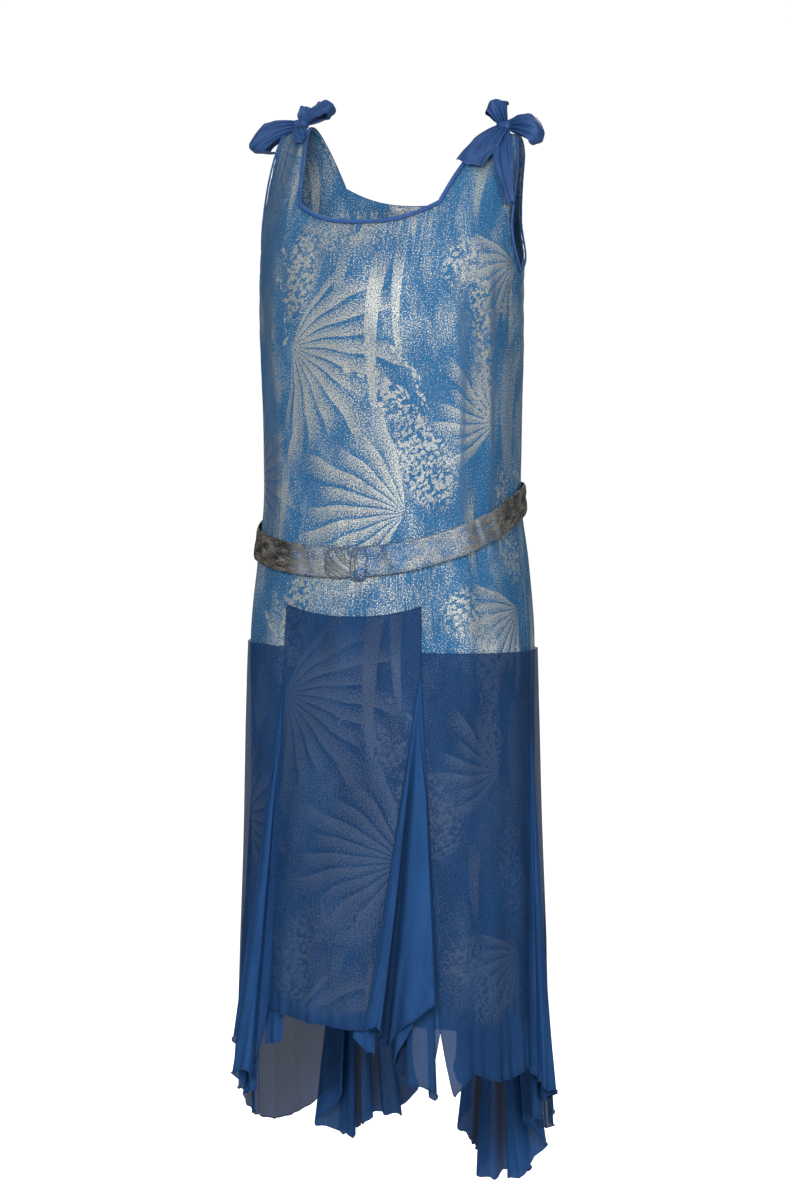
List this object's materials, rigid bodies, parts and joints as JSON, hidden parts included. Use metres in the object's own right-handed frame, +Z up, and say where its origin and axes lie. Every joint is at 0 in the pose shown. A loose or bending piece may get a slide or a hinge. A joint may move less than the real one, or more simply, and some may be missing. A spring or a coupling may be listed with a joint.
{
  "type": "shift dress",
  "caption": "Sleeveless low-waisted evening dress, hollow as worn: metal-brocade tunic, sheer overskirt with godets and a dipping pointed hem, narrow hip belt, tied bows on the shoulders.",
  "frame": {"origin": "midway between the shoulders, at the height where the straps lie on them; the wearer holds the dress up there", "axes": "+Z up; the dress's front faces -Y; the wearer's left is +X"},
  "size_m": [0.3941, 0.336, 1.2729],
  "materials": {
    "brocade": "silk with a silver and pale gold metal weft",
    "chiffon": "matt sheer silk",
    "ribbon": "doubled sheer silk",
    "sash": "folded metal brocade"
  },
  "bodies": {
    "root": {"tunic_front": "brocade", "tunic_back": "brocade", "neck_binding_front": "ribbon", "neck_binding_back": "ribbon", "armhole_binding_left": "ribbon", "armhole_binding_right": "ribbon", "skirt_front": "chiffon", "skirt_left_front": "chiffon", "skirt_left_back": "chiffon", "skirt_back": "chiffon", "skirt_right_back": "chiffon", "skirt_right_front": "chiffon", "godet_front_left": "chiffon", "godet_left_side": "chiffon", "godet_back_left": "chiffon", "godet_back_right": "chiffon", "godet_right_side": "chiffon", "godet_front_right": "chiffon", "belt": "sash", "belt_end": "sash", "belt_band": "sash", "bow_left": "ribbon", "bow_right": "ribbon"}
  },
  "joints": []
}
